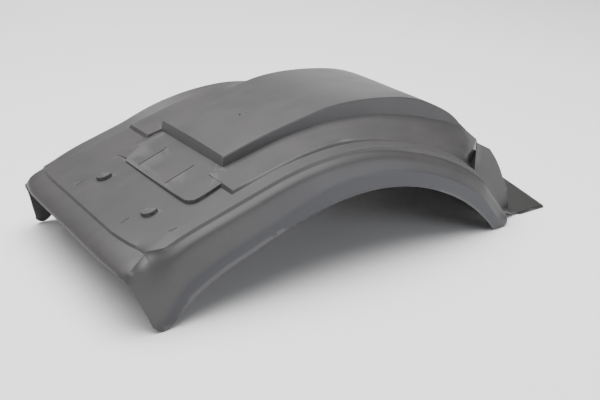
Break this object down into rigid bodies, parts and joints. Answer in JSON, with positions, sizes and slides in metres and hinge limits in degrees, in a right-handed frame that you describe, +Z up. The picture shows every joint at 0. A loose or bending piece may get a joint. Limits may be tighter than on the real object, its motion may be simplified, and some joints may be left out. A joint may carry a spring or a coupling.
{
  "type": "truck mudguard",
  "caption": "Moulded plastic mudguard that arches over the twin wheels of a truck, with side skirts, raised centre panel, tube saddle and rear flange.",
  "frame": {"origin": "middle of the footprint, on the floor that the skirt ends and the rear flange stand on", "axes": "+X towards the rear of the vehicle, along the length; +Y across the wheels; +Z up"},
  "size_m": [1.29, 0.68, 0.3542],
  "materials": {
    "moulded_plastic": "fine-grained satin moulding"
  },
  "bodies": {
    "root": {"mudguard_shell": "moulded_plastic"}
  },
  "joints": []
}
